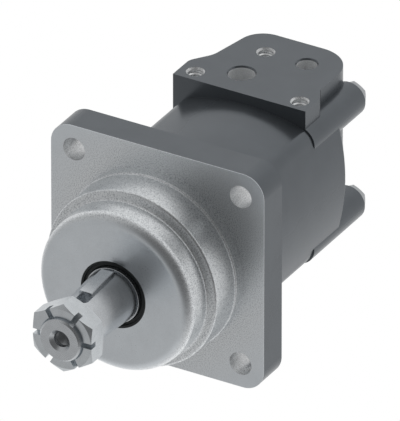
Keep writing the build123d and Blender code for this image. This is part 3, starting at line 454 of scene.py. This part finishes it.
def dress_steel():
    shaft = turned_steel("shaft_steel", STEEL, 0.20, 0.32)
    key = ground_steel("key_steel", STEEL, 0.22, 0.32)
    bearing = turned_steel("bearing_steel", BRIGHT, 0.12, 0.2, POLISHED_BUMP)
    cage = turned_steel("cage_sheet", CAGE_BRONZE, 0.3, 0.42, SHEET_BUMP)
    dress(shaft, "output_shaft", "main_drive_link", "valve_drive_link")
    dress(key, "shaft_key", "bearing_retainer", "balance_ring")
    dress(ground_steel("nut_steel", NUT_GREY, 0.26, 0.36), "castle_nut")
    dress(ground_steel("bolt_zinc", BOLT_GREY, 0.25, 0.4), "assembly_bolts")
    dress(cage, "front_bearing_cage", "rear_bearing_cage")
    for end in ("front", "rear"):
        dress(bearing, *[f"{end}_bearing_{piece}" for piece in ("cup", "cone", "rollers")])
    dress(bearing, "preload_shim", "geroler_star", "drive_spacer")
    dress(bearing, "valve_disc", "disc_spring", "locating_pins")
    dress(bearing, *[f"geroler_roller_{index + 1}" for index in range(7)])


def dress_rubber():
    rubber = rubber_material()
    dress(rubber, "dust_seal", "shaft_seal", "balance_ring_seal")
    dress(rubber, *[f"section_seal_{index + 1}" for index in range(4)])


def mesh_piece(name, vertices, faces, material, body):
    """A new piece that rides on a body."""
    mesh = bpy.data.meshes.new(name)
    mesh.from_pydata(vertices, [], faces)
    mesh.materials.append(material)
    built = bmesh.new()
    built.from_mesh(mesh)
    bmesh.ops.recalc_face_normals(built, faces=built.faces)
    built.to_mesh(mesh)
    built.free()
    piece = bpy.data.objects.new(name, mesh)
    bpy.context.scene.collection.objects.link(piece)
    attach(piece, body)
    return piece


def thread_vertices(start, way, radius, pitch, count):
    """Three points at each step of the helix: a foot, the crest and the other foot."""
    side = way.orthogonal().normalized()
    other = way.cross(side)
    foot = radius + THREAD_SUNK
    crest = radius - THREAD_DEPTH * pitch
    half = THREAD_HALF * pitch
    vertices = []
    for index in range(count + 1):
        turn = index / THREAD_STEPS
        angle = 2 * math.pi * turn
        out = side * math.cos(angle) + other * math.sin(angle)
        height = max(min(1.0, turn, (count - index) / THREAD_STEPS), THREAD_RUNOUT)
        for reach, along in ((foot, -half), (crest, 0.0), (foot, half)):
            distance = radius + (reach - radius) * height
            vertices.append(Vector(start) + out * distance + way * (pitch * turn + along))
    return vertices


def inner_thread(name, start, way, radius, pitch, length, material, body, slot):
    """Triangular thread ridge inside a hole, from start along way."""
    count = int(length / pitch * THREAD_STEPS)
    vertices = thread_vertices(start, Vector(way).normalized(), radius, pitch, count)
    faces = []
    for index in range(count):
        for edge in range(3):
            a = 3 * index + edge
            b = 3 * index + (edge + 1) % 3
            faces.append((a, b, b + 3, a + 3))
    last = 3 * count
    faces += [(0, 2, 1), (last, last + 1, last + 2)]
    return mesh_piece(name, vertices, faces, material, body)


def threads():
    """Threads in the shaft's end hole and in the three fixing holes of the port face."""
    dark = turned_steel("thread_steel", scaled(STEEL, THREAD_SHADE), 0.25, 0.4)
    bright = turned_steel("tapped_thread", BRIGHT, 0.25, 0.4)
    radius = MOUNTS["shaft_end_hole"]["dims"]["r_mm"] * MM
    start = (0.0, SHAFT_LOW.y + SHAFT_THREAD_START, 0.0)
    inner_thread("shaft_end_thread", start, (0, 1, 0), radius,
                 **SHAFT_THREAD, material=dark, body="shaft", slot="machined_steel")
    for name in ("fixing_left", "fixing_right", "fixing_rear"):
        x, y, _ = MOUNTS[name]["pos_m"]
        radius = MOUNTS[name]["dims"]["r_mm"] * MM
        start = (x, y, VALVE_HIGH.z - FIXING_THREAD_START)
        inner_thread(f"{name}_thread", start, (0, 0, -1), radius,
                     **FIXING_THREAD, material=bright, body="housing", slot="cast_grey")


def camera():
    data = bpy.data.cameras.new("camera")
    data.lens = LENS_MM
    data.sensor_width = SENSOR_MM
    data.clip_start = CLIP_NEAR
    data.clip_end = CLIP_FAR
    made = bpy.data.objects.new("camera", data)
    bpy.context.scene.collection.objects.link(made)
    back = Vector((
        math.sin(AZIMUTH) * math.cos(ELEVATION),
        -math.cos(AZIMUTH) * math.cos(ELEVATION),
        math.sin(ELEVATION),
    ))
    made.location = AIM + back * (PICTURE_HEIGHT * LENS_MM / SENSOR_MM)
    made.rotation_euler = (-back).to_track_quat("-Z", "Y").to_euler()
    bpy.context.scene.camera = made


def floor():
    """Pale floor that the camera sees and the metal doesn't mirror."""
    low = HOUSING_LOW.z - FLOOR_DROP
    half = FLOOR_HALF
    corners = ((-half, -half), (half, -half), (half, half), (-half, half))
    mesh = bpy.data.meshes.new("floor")
    mesh.from_pydata([(x, y, low) for x, y in corners], [], [(0, 1, 2, 3)])
    mesh.materials.append(floor_material())
    plane = bpy.data.objects.new("floor", mesh)
    bpy.context.scene.collection.objects.link(plane)
    plane.visible_glossy = False
    plane.visible_diffuse = False
    plane.visible_shadow = False


class Sky:
    """The world's node tree: light from each direction of the studio."""

    def __init__(self):
        world = bpy.data.worlds.new("studio")
        bpy.context.scene.world = world
        world.use_nodes = True
        self.tree = world.node_tree
        self.background = self.tree.nodes["Background"]
        self.background.inputs["Color"].default_value = WHITE
        self.way = self.tree.nodes.new("ShaderNodeTexCoord").outputs["Generated"]

    def math(self, operation, first, second):
        made = self.tree.nodes.new("ShaderNodeMath")
        made.operation = operation
        for socket, value in zip(made.inputs, (first, second)):
            if isinstance(value, bpy.types.NodeSocket):
                self.tree.links.new(value, socket)
            else:
                socket.default_value = value
        return made.outputs[0]

    def towards(self, way, edges_deg):
        """1 near a direction and 0 away from it, with a soft edge between two angles."""
        dot = self.tree.nodes.new("ShaderNodeVectorMath")
        dot.operation = "DOT_PRODUCT"
        self.tree.links.new(self.way, dot.inputs[0])
        dot.inputs[1].default_value = way.normalized()
        made = self.tree.nodes.new("ShaderNodeMapRange")
        made.interpolation_type = "SMOOTHSTEP"
        self.tree.links.new(dot.outputs["Value"], made.inputs["Value"])
        made.inputs["From Min"].default_value = math.cos(math.radians(edges_deg[1]))
        made.inputs["From Max"].default_value = math.cos(math.radians(edges_deg[0]))
        return made.outputs["Result"]

    def share(self, way, edges_deg, amount):
        return self.math("MULTIPLY", self.towards(way, edges_deg), amount)


def lights():
    """Grey room for what the motor mirrors, plain white for what the camera sees past it."""
    sky = Sky()
    back = sky.share(BACK_WAY, BACK_EDGE_DEG, BACK_LIGHT - FRONT_LIGHT)
    dark = sky.share(DARK_WAY, DARK_EDGE_DEG, 1 - DARK_SHARE)
    right = sky.share(RIGHT_WAY, RIGHT_EDGE_DEG, 1 - RIGHT_SHARE)
    low = sky.share(LOW_WAY, LOW_EDGE_DEG, LOW_LIGHT)
    room = sky.math("ADD", back, FRONT_LIGHT)
    room = sky.math("MULTIPLY", room, sky.math("SUBTRACT", 1.0, dark))
    room = sky.math("MULTIPLY", room, sky.math("SUBTRACT", 1.0, right))
    light = sky.math("ADD", room, low)
    seen = sky.tree.nodes.new("ShaderNodeLightPath").outputs["Is Camera Ray"]
    white = sky.math("MULTIPLY", seen, BACKDROP_WHITE)
    unseen = sky.math("SUBTRACT", 1.0, seen)
    strength = sky.math("ADD", white, sky.math("MULTIPLY", light, unseen))
    sky.tree.links.new(strength, sky.background.inputs["Strength"])


bpy.context.scene.view_settings.view_transform = "Standard"
camera()
lights()
floor()
dress_castings()
dress_steel()
dress_rubber()
threads()
